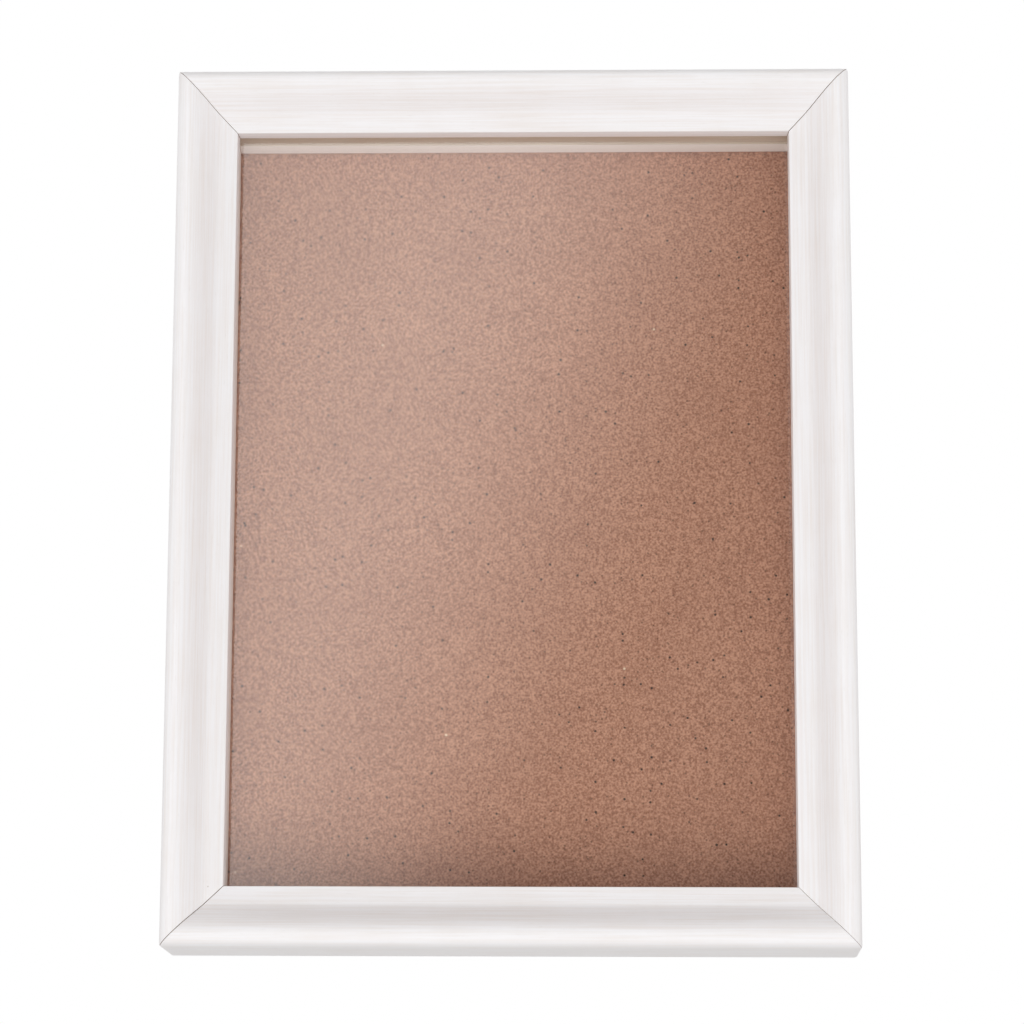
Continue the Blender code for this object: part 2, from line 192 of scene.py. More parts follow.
def leverCurve(start, end, levers, count):
    # the cubic curve (1-t)^3 start + 3(1-t)^2 t a + 3(1-t) t^2 b + t^3 end, where a and b stand off
    # the start and the end by the levers' shares of the way between them
    start, end = np.array(start, float), np.array(end, float)
    a = start + np.array(levers[0]) * (end - start)
    b = end - np.array(levers[1]) * (end - start)
    t = np.linspace(0, 1, count)[:, None]
    return (1 - t) ** 3 * start + 3 * (1 - t) ** 2 * t * a + 3 * (1 - t) * t ** 2 * b + t ** 3 * end


def ease(before, corner, after, radius, count=5):
    # a sharp corner as a short parabola, which leaves each of its sides one radius away
    before, corner, after = (np.array(p, float) for p in (before, corner, after))
    start = corner + radius * (before - corner) / np.linalg.norm(before - corner)
    end = corner + radius * (after - corner) / np.linalg.norm(after - corner)
    t = np.linspace(0, 1, count)[:, None]
    return (1 - t) ** 2 * start + 2 * t * (1 - t) * corner + t ** 2 * end


def easedOutline(corners, radius, count=5):
    # a closed outline of straight sides with every corner eased
    around = zip(corners[-1:] + corners[:-1], corners, corners[1:] + corners[:1])
    return np.concatenate([ease(a, b, c, radius, count) for a, b, c in around])


def closedLoop(points):
    # the outline with its first point once more at its end
    return np.concatenate([points, points[:1]])


def smoothStep(x):
    # 0 below 0, 1 above 1, and 3x^2 - 2x^3 between
    x = np.clip(x, 0, 1)
    return x * x * (3 - 2 * x)


def arcLength(points):
    # the way from the first point to each point, along the outline
    steps = np.linalg.norm(np.diff(points, axis=0), axis=1)
    return np.concatenate([[0], np.cumsum(steps)])


ringPace = 0.31                   # a wave texture at this scale repeats about once in a unit
whiteStain = {
    "colour": "f2f0f1",
    "thin": "e9e2de",             # where the stain is thin and the pine warms it
    "thinRange": (0.54, 1.0),     # of streaks and clouds together
    "cloudShare": 0.3,
    "pore": "c9bfb8",
    "bare": "e0c8a2",
    "bareDark": "cba878",
    "bareStreak": 0.3,
    "specular": 0.35,             # the stain is chalky, so it mirrors less than bare varnish
    "gloss": (0.40, 0.58),        # roughness where the stain is thick and where it is thin
    "streak": (34.0, 0.7),        # length and width of a grain streak, mm
    "poreSize": (2.6, 0.35),      # real pores are about 0.05 mm wide, too fine to show, so drawn coarser
    "poreRange": (0.60, 0.80),
    "poreStrength": 0.16,
    "mottle": 13.0,               # size of the cloudy patches, mm
    "speck": (16.0, 0.2),         # spacing and radius of pinholes, mm
    "ring": 3.4,                  # growth rings across a flat-sawn back, mm
    "ringStretch": 0.02,          # they run this much more slowly along the rail
    "ringWander": 9.0,
    "maskEdge": (1.6, 2.4),       # the stain creeps this far round onto the back, mm
    "maskWaver": 3.0,
    "relief": 0.03,               # height of the grain, mm
}


def stainedPine(backStart, backEnd):
    # Pine under two thin coats of white stain, rubbed down between them: nearly white, matt, with faint
    # streaks along the rail, warm cloudy patches, and fine pores. The back was masked, so bare pine shows.
    made, tree, shader = startMaterial("white_stained_pine_rubbed", 0.46)
    shader.inputs["Specular IOR Level"].default_value = whiteStain["specular"]
    uv = addNode(tree, "UVMap", uv_map="surfaceMm")
    long, wide = whiteStain["streak"]
    stretched = addNode(tree, "Mapping", {"Vector": uv, "Scale": (1 / long, 1 / wide, 1)})
    streak = addNode(tree, "TexNoise", {"Vector": stretched, "Scale": 1.0, "Detail": 4.0, "Roughness": 0.6})
    cloud = addNode(tree, "TexNoise", {"Vector": uv, "Scale": 1 / whiteStain["mottle"], "Detail": 3.0})
    poreLong, poreWide = whiteStain["poreSize"]
    poreSpace = addNode(tree, "Mapping", {"Vector": uv, "Scale": (1 / poreLong, 1 / poreWide, 1)})
    poreNoise = addNode(tree, "TexNoise", {"Vector": poreSpace, "Scale": 1.0, "Detail": 2.0})
    poreFrom, poreTo = whiteStain["poreRange"]
    pores = addNode(tree, "MapRange", {"Value": poreNoise, "From Min": poreFrom, "From Max": poreTo},
                    interpolation_type="SMOOTHSTEP")
    spacing, radius = whiteStain["speck"]
    dots = addNode(tree, "TexVoronoi", {"Vector": uv, "Scale": 1 / spacing})
    specks = addNode(tree, "MapRange", {"Value": dots, "From Min": 1.2 * radius / spacing,
                                        "From Max": 0.5 * radius / spacing})
    thinner = addNode(tree, "Math", {0: cloud, 1: whiteStain["cloudShare"], 2: streak},
                      operation="MULTIPLY_ADD")
    thinFrom, thinTo = whiteStain["thinRange"]
    thinness = addNode(tree, "MapRange", {"Value": thinner, "From Min": thinFrom, "From Max": thinTo})
    washed = addNode(tree, "Mix", {0: thinness.outputs[0], 6: linear(whiteStain["colour"]),
                                   7: linear(whiteStain["thin"])}, data_type="RGBA").outputs[2]
    poreShare = addNode(tree, "Math", {0: pores, 1: whiteStain["poreStrength"]}, operation="MULTIPLY")
    dotted = addNode(tree, "Math", {0: specks, 1: poreShare}, operation="MAXIMUM")
    stained = addNode(tree, "Mix", {0: dotted.outputs[0], 6: washed, 7: linear(whiteStain["pore"])},
                      data_type="RGBA").outputs[2]
    ringSpace = addNode(tree, "Mapping", {"Vector": uv, "Scale": (whiteStain["ringStretch"], 1, 1)})
    rings = addNode(tree, "TexWave", {"Vector": ringSpace, "Scale": ringPace / whiteStain["ring"],
                                      "Distortion": whiteStain["ringWander"], "Detail": 3.0,
                                      "Detail Scale": 0.5}, bands_direction="Y")
    bare = addNode(tree, "Mix", {0: rings.outputs["Fac"], 6: linear(whiteStain["bare"]),
                                 7: linear(whiteStain["bareDark"])}, data_type="RGBA").outputs[2]
    bareGrain = addNode(tree, "Mix", {0: streak, 6: bare, 7: linear(whiteStain["bareDark"])},
                        data_type="RGBA", blend_type="MULTIPLY")
    bareGrain.inputs[0].default_value = whiteStain["bareStreak"]
    across = addNode(tree, "SeparateXYZ", {"Vector": uv}).outputs["Y"]
    ragged = addNode(tree, "Math", {0: cloud, 1: whiteStain["maskWaver"], 2: across},
                     operation="MULTIPLY_ADD")
    edgeFrom, edgeTo = whiteStain["maskEdge"]
    entered = addNode(tree, "MapRange", {"Value": ragged, "From Min": backStart + edgeFrom,
                                         "From Max": backStart + edgeTo})
    left = addNode(tree, "MapRange", {"Value": across, "From Min": backEnd + 0.1, "From Max": backEnd})
    masked = addNode(tree, "Math", {0: entered, 1: left}, operation="MULTIPLY")
    colour = addNode(tree, "Mix", {0: masked.outputs[0], 6: stained, 7: bareGrain.outputs[2]},
                     data_type="RGBA").outputs[2]
    tree.links.new(colour, shader.inputs["Base Color"])
    smooth, dull = whiteStain["gloss"]
    gloss = addNode(tree, "MapRange", {"Value": thinness, "To Min": smooth, "To Max": dull})
    tree.links.new(gloss.outputs[0], shader.inputs["Roughness"])
    raised = addNode(tree, "Math", {0: streak, 1: 0.5}, operation="MULTIPLY")
    dented = addNode(tree, "Math", {0: raised, 1: dotted}, operation="SUBTRACT")
    bump = addNode(tree, "Bump", {"Height": dented, "Distance": whiteStain["relief"] * mm, "Strength": 0.6})
    tree.links.new(bump.outputs[0], shader.inputs["Normal"])
    return made


pineEnd = {
    "colour": "b48e63",
    "ring": "8d6640",
    "ringWidth": 2.2,             # mm
    "ringWander": 4.0,
    "saw": 0.35,                  # spacing of the saw marks across the cut, mm
    "relief": 0.05,               # their height, mm
}


def sawnPineEnd():
    # End grain of pine as the mitre saw leaves it: darker than the faces, with rings and fine saw marks
    made, tree, shader = startMaterial("pine_end_grain_sawn", 0.8)
    place = addNode(tree, "TexCoord").outputs["Object"]
    rings = addNode(tree, "TexWave", {"Vector": place, "Scale": ringPace / (pineEnd["ringWidth"] * mm),
                                      "Distortion": pineEnd["ringWander"], "Detail": 2.0},
                    wave_type="RINGS")
    saw = addNode(tree, "TexNoise", {"Vector": place, "Scale": 1 / (pineEnd["saw"] * mm), "Detail": 2.0})
    share = addNode(tree, "Math", {0: rings.outputs["Fac"], 1: saw}, operation="MULTIPLY")
    colour = addNode(tree, "Mix", {0: share.outputs[0], 6: linear(pineEnd["colour"]),
                                   7: linear(pineEnd["ring"])}, data_type="RGBA").outputs[2]
    tree.links.new(colour, shader.inputs["Base Color"])
    bump = addNode(tree, "Bump", {"Height": saw, "Distance": pineEnd["relief"] * mm, "Strength": 0.5})
    tree.links.new(bump.outputs[0], shader.inputs["Normal"])
    return made


def mouldingSection():
    # slope, cove and round-over as three cubic curves, then the leaning side, the back, the rebate
    # and the lip, with every edge eased
    slope, crown, shoulder = moulding["slope"], moulding["crown"], moulding["shoulder"]
    face = np.concatenate([
        leverCurve((0, 0), slope, moulding["slopeLevers"], 13)[1:],
        leverCurve(slope, crown, moulding["coveLevers"], 25)[1:],
        leverCurve(crown, shoulder, moulding["roundLevers"], 21)[1:],
    ])
    lip = (-moulding["lipLean"], -moulding["lipThickness"])
    ledge = (moulding["rebate"], -moulding["lipThickness"])
    inner = (moulding["rebate"], -frameDepth)
    outer = (moulding["width"], -frameDepth)
    radius = moulding["edgeEase"]
    side = np.linspace(shoulder, outer, 16)[1:-1]
    back = np.linspace(outer, inner, 14)[1:-1]
    sightEdge = ease(lip, (0, 0), face[0], radius)
    return np.concatenate([
        sightEdge[2:],
        face,
        side,
        ease(shoulder, outer, inner, 1.2 * radius),
        back,
        ease(outer, inner, ledge, radius),
        np.linspace(inner, ledge, 6)[1:-1],
        ease(inner, ledge, lip, radius / 2),
        ease(ledge, lip, (0, 0), radius),
        sightEdge[:2],
    ])


def outwardNormals(points):
    # unit normals of a closed outline, square to the chord between each point's neighbours
    along = np.roll(points, -1, axis=0) - np.roll(points, 1, axis=0)
    normal = np.stack([-along[:, 1], along[:, 0]], axis=1)
    area = np.sum(points[:, 0] * np.roll(points[:, 1], -1) - np.roll(points[:, 0], -1) * points[:, 1])
    return normal / np.linalg.norm(normal, axis=1)[:, None] * (-1 if area > 0 else 1)


def bendRadius(points):
    # radius of the bend at each point of a closed outline, as chord over turn, and a large one where
    # the outline is straight or hollow
    before, after = points - np.roll(points, 1, axis=0), np.roll(points, -1, axis=0) - points
    cross = before[:, 0] * after[:, 1] - before[:, 1] * after[:, 0]
    turn = np.arctan2(cross, np.sum(before * after, axis=1)) * np.sign(np.sum(cross))
    chord = (np.linalg.norm(before, axis=1) + np.linalg.norm(after, axis=1)) / 2
    return chord / np.clip(turn, 1e-4, None)


# How the end of a rail or a spacer is drawn
mitre = {
    "rows": (0, 0.03, 0.07, 0.12, 0.2, 0.32, 0.6, 1.0, 1.5, 2.1, 2.8, 3.6, 5.0, 8.0),   # mm from the cut
    "middleRows": 12,             # from one end's last row to the other's
    "bendShare": 0.7,             # a sanded edge is rounded by less than the bend that it crosses
    "uneven": 0.4,                # sanding by hand varies by this share
    "rippleStep": 0.9,            # two waves run round the section, by the number of its point
    "ripples": ((1.0, 0.6), (2.7, 0.4)),           # pace and height of each
    "backSkin": 0.5,              # a point is on the back when it is less than this from it, mm
    "faceFar": 99,                # stands for a point that the tip's rounding doesn't reach, mm
}


def mitreEnd(section, reach, corner, settings, wobble):
    # One end of a mitred strip. A point that lies o outwards reaches o further: a cut at 45 degrees.
    # Near the cut the section shrinks by r - sqrt(r^2 - (r - d)^2), an eased edge of radius r at
    # distance d. At the tip a square corner comes in to a quarter circle, where the point (p, q) is
    # multiplied by p / hypot(p, q).
    d = np.array(mitre["rows"])[:, None]
    sanded = settings["mitreEase"][corner] * (1 + mitre["uneven"] * wobble)
    radius = np.minimum(sanded, mitre["bendShare"] * bendRadius(section))[None, :]
    gone = np.clip(radius - d, 0, None)
    shrink = radius - np.sqrt(radius ** 2 - gone ** 2)
    o = section[None, :, 0] - shrink * outwardNormals(section)[None, :, 0]
    f = section[None, :, 1] - shrink * outwardNormals(section)[None, :, 1]
    along = reach + o - settings["mitreGap"][corner] / math.sqrt(2) - d
    if "tipRadius" in settings:
        crown, shoulder = settings["crown"], settings["shoulder"]
        depth = smoothStep((crown[1] - f) / (crown[1] - shoulder[1]))
        tip = settings["tipRadius"][corner.split("_")[0]] * depth * (o >= crown[0] - settings["tipReach"])
        onFace = np.where(o >= crown[0], 0, mitre["faceFar"])
        inset = np.where(f < mitre["backSkin"] - frameDepth, settings["width"] - o, onFace)
        p = tip - inset
        q = np.clip(tip - inset - d, 0, None)
        pull = np.where(p > 0, np.maximum(p, 0) / np.maximum(np.hypot(p, q), 1e-9), 1)
        o = o - p * (1 - pull)
        along = along - q * (1 - pull)
    return o, f, along


def mitredStrip(name, section, side, frontY, settings, finishes, patternStart):
    # The section carried in a straight line along one side of the opening, from one mitre to the other.
    # Its uv map is in mm: u runs along the strip and v round the section.
    out, run = sides[side]
    upright = side in ("left", "right")
    halfOut, halfRun = (halfWide, halfTall) if upright else (halfTall, halfWide)
    ends = [f"bottom_{side}", f"top_{side}"] if upright else [f"{side}_left", f"{side}_right"]
    section = closedLoop(section)
    phase = np.arange(len(section)) * mitre["rippleStep"] + patternStart
    wobble = sum(np.sin(pace * phase) * height for pace, height in mitre["ripples"])
    wobble[-1] = wobble[0]
    halves = []
    for end in ends:
        o, f, along = mitreEnd(section[:-1], halfRun / mm, end, settings, wobble[:-1])
        halves.append([np.concatenate([part, part[:, :1]], axis=1) for part in (o, f, along)])
    (o0, f0, a0), (o1, f1, a1) = halves
    t = np.linspace(0, 1, mitre["middleRows"])[1:-1, None]
    middleRun = -a0[-1] * (1 - t) + a1[-1] * t
    middleO = np.repeat(section[None, :, 0], len(t), axis=0)
    middleF = np.repeat(section[None, :, 1], len(t), axis=0)
    o = np.concatenate([o0, middleO, o1[::-1]]) * mm
    f = np.concatenate([f0, middleF, f1[::-1]]) * mm
    along = np.concatenate([-a0, middleRun, a1[::-1]]) * mm
    grid = np.stack([
        out[0] * (halfOut + o) + run[0] * along,
        frontY - f,
        centreZ + out[1] * (halfOut + o) + run[1] * along,
    ], axis=2)
    around = np.repeat(arcLength(section)[None, :], len(grid), axis=0)
    uv = np.stack([along / mm + patternStart, around], axis=2)
    return surface(name, grid, finishes, uv=uv, capped=True)


railPoints = mouldingSection()
railArc = arcLength(closedLoop(railPoints))
onBack = np.abs(railPoints[:, 1] + frameDepth) < 0.01
stain = stainedPine(railArc[:-1][onBack].min(), railArc[:-1][onBack].max())
endGrain = sawnPineEnd()
railPatternStep = 400.0           # each rail is a different length of the same timber, mm
rails = {}
for index, side in enumerate(sides):
    rails[side] = mitredStrip(f"stained_rail_{side}", railPoints, side, sightY, moulding,
                              [stain, endGrain], railPatternStep * index)
print("rails swept:", len(railPoints), "section points")

strip = {
    "setBack": 0.45,              # from the sight edge, mm
    "step": 0.25,                 # the front band is planed back by this much, mm
    "frontBand": 7.0,             # its depth, mm
    "edge": 0.12,
    "planedArris": 0.5,           # taken off the corner beside the board
    "mitreEase": {"bottom_left": 0.05, "bottom_right": 0.05, "top_left": 0.04, "top_right": 0.08},
    "mitreGap": {"bottom_left": 0.2, "bottom_right": 0.2, "top_left": 0.12, "top_right": 0.34},
    # bare and bareDark also colour the front band beside the lip, where they stand for bare pine and
    # painted shade from the lip together
    "bare": "cdbdac",
    "bareDark": "aa9482",
    "washed": "f3eae6",
    "washGap": 0.25,              # share of the bare wood that shows through the wash's darkest streaks
    "washEdge": (-0.3, 0.05),     # it ends over this width at the step, mm
    "streak": (22.0, 0.5),        # length and width of a grain streak, mm
    "streakRange": (0.35, 0.75),
    "relief": 0.04,               # height of the planer's torn grain, mm
    "patternStep": 300.0,         # each strip is a different length of the same timber, mm
    "patternStart": 90.0,
}


def stripSection(depth, outer):
    # a rectangle with a shallow step behind its front band and one corner planed off, every edge eased
    inner = strip["setBack"]
    stepped = inner + strip["step"]
    planed = strip["planedArris"]
    corners = [(stepped, 0), (outer, 0), (outer, -depth), (inner + planed, -depth), (inner, planed - depth),
               (inner, -strip["frontBand"]), (stepped, -strip["frontBand"])]
    return easedOutline(corners, strip["edge"])


def spacerPine(shadedBandEnd):
    # Planed pine strip: the front band beside the lip is brownish bare pine, drawn darker with painted
    # shade from the lip; the rest has one thin white wash
    made, tree, shader = startMaterial("pine_strip_planed", 0.62)
    uv = addNode(tree, "UVMap", uv_map="surfaceMm")
    long, wide = strip["streak"]
    stretched = addNode(tree, "Mapping", {"Vector": uv, "Scale": (1 / long, 1 / wide, 1)})
    streak = addNode(tree, "TexNoise", {"Vector": stretched, "Scale": 1.0, "Detail": 4.0,
                                        "Roughness": 0.65})
    streakFrom, streakTo = strip["streakRange"]
    contrast = addNode(tree, "MapRange", {"Value": streak, "From Min": streakFrom, "From Max": streakTo})
    bare = addNode(tree, "Mix", {0: contrast.outputs[0], 6: linear(strip["bare"]),
                                 7: linear(strip["bareDark"])}, data_type="RGBA").outputs[2]
    thin = addNode(tree, "Math", {0: contrast, 1: strip["washGap"]}, operation="MULTIPLY")
    washed = addNode(tree, "Mix", {0: thin.outputs[0], 6: linear(strip["washed"]),
                                   7: linear(strip["bare"])}, data_type="RGBA").outputs[2]
    across = addNode(tree, "SeparateXYZ", {"Vector": uv}).outputs["Y"]
    edgeFrom, edgeTo = strip["washEdge"]
    shadedFrontBand = addNode(tree, "MapRange", {"Value": across, "From Min": shadedBandEnd + edgeFrom,
                                      "From Max": shadedBandEnd + edgeTo})
    # the front band takes the bare tones, which there hold painted shade from the lip as well as bare pine
    colour = addNode(tree, "Mix", {0: shadedFrontBand.outputs[0], 6: washed, 7: bare}, data_type="RGBA").outputs[2]
    tree.links.new(colour, shader.inputs["Base Color"])
    bump = addNode(tree, "Bump", {"Height": streak, "Distance": strip["relief"] * mm, "Strength": 0.6})
    tree.links.new(bump.outputs[0], shader.inputs["Normal"])
    return made


stripLow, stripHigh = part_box("spacer_left")
stripOuter = (-halfWide - stripLow.x) / mm
stripPoints = stripSection((stripHigh.y - stripLow.y) / mm, stripOuter)
stripArc = arcLength(closedLoop(stripPoints))
stepIndex = int(np.argmin(np.abs(stripPoints - (strip["setBack"], -strip["frontBand"])).sum(axis=1)))
stripWood = spacerPine(stripArc[stepIndex] - strip["edge"])
for index, side in enumerate(sides):
    piece = mitredStrip(f"planed_spacer_{side}", stripPoints, side, stripLow.y, strip,
                        [stripWood, endGrain], strip["patternStep"] * index + strip["patternStart"])
    settle(piece, "frame", "bare_strip_wood", f"spacer_{side}")
print("spacers swept")

sheets = {
    "paneEdge": 0.25,             # radius of the seamed edges, mm
    "paneCorner": 0.5,
    "boardEdge": 0.3,
    "boardCorner": 0.8,
    "around": 32,                 # points round each outline
}


def slab(name, node, cornerRadius, edgeRadius, finish):
    # A rounded rectangle carried through the sheet's thickness. Near each face it shrinks along a
    # quarter circle.
    low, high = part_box(node)
    middle = (low + high) / 2
    half = (high - low) / 2
    turn = np.linspace(0, math.pi / 2, 7)
    rise = edgeRadius * mm * np.sin(turn)
    gone = edgeRadius * mm * (1 - np.cos(turn))
    insets = np.concatenate([gone[::-1], gone])
    depths = np.concatenate([low.y + edgeRadius * mm - rise[::-1], high.y - edgeRadius * mm + rise])
    count = sheets["around"]
    angle = np.linspace(0, 2 * math.pi, count + 1)[:-1] + math.pi / count
    angle = np.concatenate([angle, angle[:1] + 2 * math.pi])
    radius = cornerRadius * mm
    x = np.sign(np.cos(angle)) * (half.x - radius)
    z = np.sign(np.sin(angle)) * (half.z - radius)
    own = radius - insets[:, None]
    grid = np.stack([
        middle.x + x + own * np.cos(angle),
        np.repeat(depths[:, None], len(angle), axis=1),
        middle.z + z + own * np.sin(angle),
    ], axis=2)
    return surface(name, grid, [finish], capped=True)


glass = {
    "tint": "fdfffe",             # soda-lime glass this thin is nearly colourless
    "ior": 1.52,
    "smear": 38.0,                # size of the wiped patches, mm
    "smearRange": (0.45, 0.75),
    "haze": 0.02,                 # roughness where the cloth left most behind
}


def paneGlass():
    # 2 mm float glass, wiped by hand: clear and colourless, with one sharp reflection and patches that
    # are a little less polished. Lamplight passes straight through it, so the recess behind it is lit.
    made, tree, shader = startMaterial("float_glass_wiped", 0.0)
    shader.inputs["Base Color"].default_value = linear(glass["tint"])
    shader.inputs["Transmission Weight"].default_value = 1.0
    shader.inputs["IOR"].default_value = glass["ior"]
    place = addNode(tree, "TexCoord").outputs["Object"]
    smear = addNode(tree, "TexNoise", {"Vector": place, "Scale": 1 / (glass["smear"] * mm), "Detail": 5.0})
    smearFrom, smearTo = glass["smearRange"]
    wiped = addNode(tree, "MapRange", {"Value": smear, "From Min": smearFrom, "From Max": smearTo,
                                       "To Max": glass["haze"]})
    tree.links.new(wiped.outputs[0], shader.inputs["Roughness"])
    clear = addNode(tree, "BsdfTransparent", {"Color": linear(glass["tint"])})
    shadowRay = addNode(tree, "LightPath").outputs["Is Shadow Ray"]
    mixed = addNode(tree, "MixShader", {0: shadowRay, 1: shader, 2: clear})
    tree.links.new(mixed.outputs[0], tree.nodes["Material Output"].inputs["Surface"])
    return made


board = {
    "dark": "92604a",
    "light": "c8947a",
    "fibre": 0.50,                # bundles, mm; single fibres are 0.03 mm wide, too fine to show
    "fibreRange": (0.2, 0.8),
    "cloud": 24.0,                # size of the darker patches, mm
    "cloudRange": (0.3, 0.7),
    "cloudStrength": 0.18,
    "screen": 1.4,                # spacing of the wire screen's print on the rough face, mm
    "screenPace": 0.314,          # a wave texture at this scale repeats once in a unit
    "specular": 0.3,              # unsealed fibre mirrors very little
    "relief": 0.16,               # height of the screen's print, mm
    "fibreRelief": 0.25,          # the fibres' share of that
    # specks by tone: spacing and radius in mm, share of cells that have one, strength
    "specks": {
        "51301f": (1.3, 0.27, 0.40, 0.60),
        "33201a": (2.3, 0.33, 0.28, 1.0),
        "f0dcc0": (9.0, 0.34, 0.3, 0.8),
    },
}


def hardboard():
    # Pressed wood fibre: the smooth face is a tan felt of fibres with dark specks of bark, and the face
    # that lay on the wire screen has its square print
    made, tree, shader = startMaterial("hardboard_pressed", 0.62)
    shader.inputs["Specular IOR Level"].default_value = board["specular"]
    place = addNode(tree, "TexCoord").outputs["Object"]
    fibre = addNode(tree, "TexNoise", {"Vector": place, "Scale": 1 / (board["fibre"] * mm), "Detail": 0.0})
    cloud = addNode(tree, "TexNoise", {"Vector": place, "Scale": 1 / (board["cloud"] * mm), "Detail": 4.0})
    fibreFrom, fibreTo = board["fibreRange"]
    lightness = addNode(tree, "MapRange", {"Value": fibre, "From Min": fibreFrom, "From Max": fibreTo})
    felt = addNode(tree, "Mix", {0: lightness.outputs[0], 6: linear(board["dark"]),
                                 7: linear(board["light"])}, data_type="RGBA").outputs[2]
    cloudFrom, cloudTo = board["cloudRange"]
    patchy = addNode(tree, "MapRange", {"Value": cloud, "From Min": cloudFrom, "From Max": cloudTo,
                                        "To Max": board["cloudStrength"]})
    colour = addNode(tree, "Mix", {0: patchy.outputs[0], 6: felt, 7: linear(board["dark"])},
                     data_type="RGBA").outputs[2]
    for tone, (spacing, radius, kept, strength) in board["specks"].items():
        cells = addNode(tree, "TexVoronoi", {"Vector": place, "Scale": 1 / (spacing * mm)})
        near = addNode(tree, "MapRange", {"Value": cells.outputs["Distance"],
                                          "From Min": 1.3 * radius / spacing,
                                          "From Max": 0.5 * radius / spacing, "To Max": strength})
        chosen = addNode(tree, "SeparateXYZ", {"Vector": cells.outputs["Color"]}).outputs["X"]
        chance = addNode(tree, "Math", {0: chosen, 1: kept}, operation="LESS_THAN")
        amount = addNode(tree, "Math", {0: near, 1: chance}, operation="MULTIPLY")
        colour = addNode(tree, "Mix", {0: amount.outputs[0], 6: colour, 7: linear(tone)},
                         data_type="RGBA").outputs[2]
    tree.links.new(colour, shader.inputs["Base Color"])
    normal = addNode(tree, "TexCoord").outputs["Normal"]
    towardsWall = addNode(tree, "SeparateXYZ", {"Vector": normal}).outputs["Y"]
    rough = addNode(tree, "MapRange", {"Value": towardsWall, "From Min": 0.5, "From Max": 0.9})
    printScale = board["screenPace"] / (board["screen"] * mm)
    prints = [addNode(tree, "TexWave", {"Vector": place, "Scale": printScale, "Distortion": 0.4,
                                        "Detail": 1.0}, bands_direction=axis)
              for axis in ("X", "Z")]
    screen = addNode(tree, "Math", {0: prints[0].outputs["Fac"], 1: prints[1].outputs["Fac"]},
                     operation="MULTIPLY")
    pressed = addNode(tree, "Math", {0: screen, 1: rough}, operation="MULTIPLY")
    height = addNode(tree, "Math", {0: fibre, 1: board["fibreRelief"], 2: pressed},
                     operation="MULTIPLY_ADD")
    bump = addNode(tree, "Bump", {"Height": height, "Distance": board["relief"] * mm, "Strength": 0.7})
    tree.links.new(bump.outputs[0], shader.inputs["Normal"])
    return made


pane = settle(slab("seamed_pane", "glass_pane", sheets["paneCorner"], sheets["paneEdge"], paneGlass()),
              "frame", "clear_glass", "glass_pane")
pane.visible_diffuse = False      # light goes straight through it, which keeps the recess free of noise
settle(slab("hardboard_back", "back_board", sheets["boardCorner"], sheets["boardEdge"], hardboard()),
       "frame", "brown_hardboard", "back_board")
print("pane and board made")

# Two tones, the sizes of the cloudy patches and of the knocks in mm, and the range of roughness
metals = {
    "zinc_plated_steel_barrelled": {
        "colour": "c6c8c6", "dull": "9da09f", "patch": 1.6, "grain": 0.12, "roughness": (0.26, 0.42),
    },
    "galvanised_steel_sheared": {
        "colour": "a9acab", "dull": "84888a", "patch": 1.2, "grain": 0.15, "roughness": (0.36, 0.55),
    },
    "brassed_steel_stamped": {
        "colour": "cfae67", "dull": "a88646", "patch": 2.4, "grain": 0.14, "roughness": (0.24, 0.40),
    },
}


def platedMetal(name):
    # Thin plating on steel that was tumbled in a barrel: a bright metal with cloudy dull patches and
    # tiny knocks
    look = metals[name]
    made, tree, shader = startMaterial(name, look["roughness"][0], metallic=1.0)
    place = addNode(tree, "TexCoord").outputs["Object"]
    patch = addNode(tree, "TexNoise", {"Vector": place, "Scale": 1 / (look["patch"] * mm), "Detail": 4.0})
    grain = addNode(tree, "TexNoise", {"Vector": place, "Scale": 1 / (look["grain"] * mm), "Detail": 2.0})
    cloudy = addNode(tree, "MapRange", {"Value": patch, "From Min": 0.38, "From Max": 0.68})
    colour = addNode(tree, "Mix", {0: cloudy.outputs[0], 6: linear(look["colour"]),
                                   7: linear(look["dull"])}, data_type="RGBA").outputs[2]
    tree.links.new(colour, shader.inputs["Base Color"])
    low, high = look["roughness"]
    gloss = addNode(tree, "MapRange", {"Value": patch, "From Min": 0.3, "From Max": 0.7, "To Min": low,
                                       "To Max": high})
    tree.links.new(gloss.outputs[0], shader.inputs["Roughness"])
    bump = addNode(tree, "Bump", {"Height": grain, "Distance": 0.012 * mm, "Strength": 0.5})
    tree.links.new(bump.outputs[0], shader.inputs["Normal"])
    return made


zinc, galvanised, brassed = (platedMetal(name) for name in metals)
firstAngle = 0.07                 # keeps a turned piece's edges off the rails' own edges


def turnedPiece(name, profile, centre, finishes, count=48):
    # a profile of (radius, height) turned round an axis that points at the wall, +Y
    angle = np.linspace(0, 2 * math.pi, count + 1) + firstAngle
    radius, height = (np.array(profile, float) * mm).T
    grid = np.stack([
        centre[0] + radius[:, None] * np.cos(angle),
        centre[1] + np.repeat(height[:, None], len(angle), axis=1),
        centre[2] + radius[:, None] * np.sin(angle),
    ], axis=2)
    return surface(name, grid, finishes)


drillTop = 2.6                    # it starts this far above the back, mm
drillCount = 27


def drill(name, centre, radius, depth):
    # a cylinder that cuts a blind hole, from above the back to a depth below it, mm
    profile = [(0, drillTop), (radius, drillTop), (radius, -depth), (0, -depth)]
    return turnedPiece(name, profile, centre, [endGrain], drillCount)


cornerNail = {
    "thickness": 0.6,
    "bend": 0.8,                  # radius of the fold along the middle of the strip
    "edge": 0.08,
    "point": (0.25, 1.2),         # the driven edge: share of the thickness left, length of its bevel
    "spare": 0.3,                 # its slot in the wood is this much wider on each side
    "slotTop": 2.0,               # the slot's tool reaches this far above the back
}


